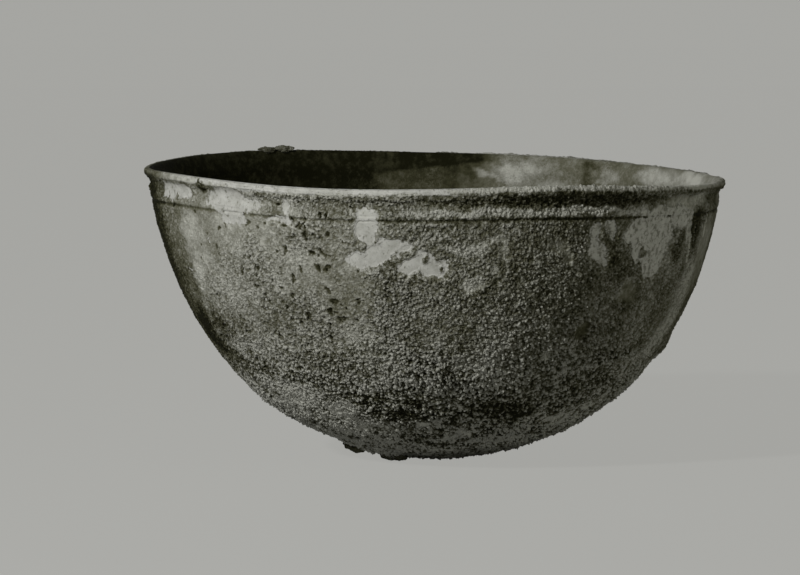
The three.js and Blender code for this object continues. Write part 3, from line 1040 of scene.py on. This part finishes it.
def inner_skin(places, way):
    """The crust at places inside on the sheet: its thickness, and numbers for its material."""
    azimuth = azimuth_of(places) % 360
    wall = (azimuth, way, np.hypot(places[:, 0], places[:, 1]))
    from_black = np.abs(turned(azimuth, BLACK_AND_SHADED_INSIDE))
    sway = (1.2 * waves(places, 4.0, 12, 3), 1.2 * waves(places, 4.0, 13, 3))
    reach = np.interp(way, (LIP_WAY + 2.0, LIP_WAY + 5.0), (70.0, 44.0))
    # Black and dusky zones near the lip at the back left: partly dark patina, partly painted shade where the
    # wall lies in the bowl's own shadow.
    black = soft_step(from_black, reach + 6.0, reach - 6.0)
    dusky = soft_step(from_black, 77.0, 69.0)
    deep = soft_step(way, LIP_WAY + 12.0, LIP_WAY + 32.0)
    black = black * (1 - 0.85 * deep)
    dusky = dusky * (1 - 0.7 * deep)
    paleness = 0.58 + 0.12 * soft_step(azimuth, 130.0, 100.0) - 0.36 * dusky - 0.7 * black
    paleness += 0.1 * waves(places, 10.0, 14, 3) + 0.08 * waves(places, 3.0, 15, 3)
    for centre_azimuth, past, width, height, paler in INNER_ZONES:
        share = spot(wall, (centre_azimuth, LIP_WAY + past, width, height), sway)
        paleness += paler * soft_step(share, -0.1, 0.5)
    paleness = np.maximum(paleness, 0.02 + 0.06 * waves(places, 5.0, 19, 4))
    rough = np.clip(0.3 + 0.3 * waves(places, 8.0, 16, 2), 0.1, 0.7) * (1 - 0.6 * black)
    grain, grain_chance = grains(places, COARSE_GRAIN, 40)
    thickness = INNER_SKIN + rough * 0.2 * grain * (0.4 + 0.6 * grain_chance)
    thickness += 0.04 * waves(places, 3.0, 17, 3) * (1 - black)
    seam = soft_step(way, LIP_WAY + SEAM + 1.0, LIP_WAY + SEAM)
    return thickness * (1 - seam) + SEAM_SKIN * seam, {
        "paleness": paleness,
        "rough": rough,
        "bare": np.full(len(way), -1.0),
        "stain": np.full(len(way), 1.0),
    }


for side, start in (("left", 180.0), ("right", 0.0)):
    inner_wall = (LIP_WAY + SEAM, INNER_BASE_WAY)
    crust_piece(f"crust_inner_{side}", inner_skin, *inner_wall, start, 180.0, LIP_RADIUS, INNER_GRID)
inner_base = (INNER_BASE_WAY, INNER_END_WAY)
crust_piece("crust_inner_base", inner_skin, *inner_base, 0.0, 360.0, INNER_BASE_RADIUS, INNER_GRID)

# Lumps of crust
# Corrosion and soil that set hard in thicker lumps: one on the back of the lip, and two scabs underneath.
LUMP_GRAIN = 0.6
LUMP_RELIEF = 0.22
MERGE_WITHIN = 1e-6  # metres, as the CAD mesh is


def lump(node):
    """A lump of crust, made finer and rougher than the CAD solid that it replaces."""
    bm = bmesh.new()
    bm.from_mesh(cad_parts[node].data)
    bmesh.ops.remove_doubles(bm, verts=bm.verts[:], dist=MERGE_WITHIN)
    bmesh.ops.subdivide_edges(bm, edges=bm.edges[:], cuts=2, use_grid_fill=True, smooth=0.5)
    bmesh.ops.recalc_face_normals(bm, faces=bm.faces[:])
    mesh = mesh_from(bm, f"{node}_rough")
    places = vertices_of(mesh) / MM
    grain, grain_chance = grains(places, LUMP_GRAIN, 50)
    rise = LUMP_RELIEF * grain * (0.4 + 0.6 * grain_chance) + 0.1 * waves(places, 0.9, 11, 3) - 0.05
    keep_value(mesh, "paleness", 0.3 + 0.2 * (node == "rim_crust") + 0.2 * waves(places, 1.5, 12, 2))
    keep_value(mesh, "rough", np.full(len(places), 0.9))
    keep_value(mesh, "bare", np.full(len(places), -1.0))
    piece = finished(mesh, f"{node}_rough", places + normals_of(mesh) * rise[:, None], crust)
    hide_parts(node)


for node in ("rim_crust", "underside_crust_left", "underside_crust_middle"):
    lump(node)

# Floor and backdrop
# A pale grey paper, laid flat under the bowl and curved up behind it. Its lengths are metres.
BACKDROP_COLOUR = (0.415, 0.415, 0.395, 1.0)
PAPER_COLOUR = (0.5, 0.5, 0.485, 1.0)
PLAIN_SHARE = 0.9
FLOOR_REACH = 1.5
FLOOR_WIDTH = 4.0
WALL_DISTANCE = 1.2
SWEEP_RADIUS = 0.6
WALL_HEIGHT = 2.5
SWEEP_STEPS = 12


def paper_finish():
    """Pale grey paper. The camera sees its plain colour, with the bowl's soft shadow on it."""
    material = bpy.data.materials.new("paper")
    material.use_nodes = True
    nodes = material.node_tree.nodes
    links = material.node_tree.links
    diffuse = nodes["Principled BSDF"]
    diffuse.inputs["Base Color"].default_value = PAPER_COLOUR
    diffuse.inputs["Roughness"].default_value = 1.0
    diffuse.inputs["Specular IOR Level"].default_value = 0.0
    plain = nodes.new("ShaderNodeEmission")
    plain.inputs["Color"].default_value = BACKDROP_COLOUR
    rays = nodes.new("ShaderNodeLightPath")
    seen = nodes.new("ShaderNodeMath")
    seen.operation = "MAXIMUM"
    links.new(rays.outputs["Is Camera Ray"], seen.inputs[0])
    links.new(rays.outputs["Is Glossy Ray"], seen.inputs[1])
    share = nodes.new("ShaderNodeMath")
    share.operation = "MULTIPLY"
    share.inputs[1].default_value = PLAIN_SHARE
    links.new(seen.outputs["Value"], share.inputs[0])
    blend = nodes.new("ShaderNodeMixShader")
    links.new(share.outputs["Value"], blend.inputs["Fac"])
    links.new(diffuse.outputs["BSDF"], blend.inputs[1])
    links.new(plain.outputs["Emission"], blend.inputs[2])
    links.new(blend.outputs["Shader"], nodes["Material Output"].inputs["Surface"])
    return material


def backdrop():
    bm = bmesh.new()
    turn = np.radians(np.linspace(0, 90, SWEEP_STEPS + 1))
    rows = [(-FLOOR_REACH, 0.0), (WALL_DISTANCE, 0.0)]
    rows += [(WALL_DISTANCE + SWEEP_RADIUS * np.sin(a), SWEEP_RADIUS * (1 - np.cos(a))) for a in turn[1:]]
    rows.append((WALL_DISTANCE + SWEEP_RADIUS, WALL_HEIGHT))
    verts = [bm.verts.new((-FLOOR_WIDTH / 2, y, z)) for y, z in rows]
    edges = [bm.edges.new(pair) for pair in zip(verts, verts[1:])]
    widened = bmesh.ops.extrude_edge_only(bm, edges=edges)["geom"]
    across = [v for v in widened if isinstance(v, bmesh.types.BMVert)]
    bmesh.ops.translate(bm, verts=across, vec=(FLOOR_WIDTH, 0, 0))
    bmesh.ops.recalc_face_normals(bm, faces=bm.faces[:])
    mesh = mesh_from(bm, "backdrop")
    mesh.materials.append(paper_finish())
    sheet = bpy.data.objects.new("backdrop", mesh)
    bpy.context.scene.collection.objects.link(sheet)


backdrop()

# Lights
# A small lamp high at the front left rakes across the grains. Two wide weak ones, in front and at the right,
# fill the shadows.
BOWL_MIDDLE = Vector((0.0, 0.0, 0.028))
WARM = (1.0, 1.0, 0.84)
WORLD_STRENGTH = 0.045


def lamp(name, direction, distance, size, power, colour=(1.0, 1.0, 1.0)):
    """A square lamp that looks at the bowl's middle. Lengths are metres, and power is watts."""
    data = bpy.data.lights.new(name, "AREA")
    data.color = colour
    data.size = size
    data.energy = power
    light = bpy.data.objects.new(name, data)
    light.location = BOWL_MIDDLE + Vector(direction).normalized() * distance
    light.rotation_euler = (BOWL_MIDDLE - light.location).to_track_quat("-Z", "Y").to_euler()
    bpy.context.scene.collection.objects.link(light)


lamp("key", direction=(-0.59, -0.656, 0.469), distance=0.8, size=0.05, power=5.1)
lamp("fill", direction=(0.6, -0.8, 0.15), distance=1.2, size=0.8, power=1.6, colour=WARM)
lamp("side", direction=(1.0, -0.09, 0.05), distance=1.2, size=0.5, power=1.5, colour=WARM)
world = bpy.data.worlds.new("world")
world.use_nodes = True
world.node_tree.nodes["Background"].inputs["Color"].default_value = (*WARM, 1.0)
world.node_tree.nodes["Background"].inputs["Strength"].default_value = WORLD_STRENGTH
bpy.context.scene.world = world
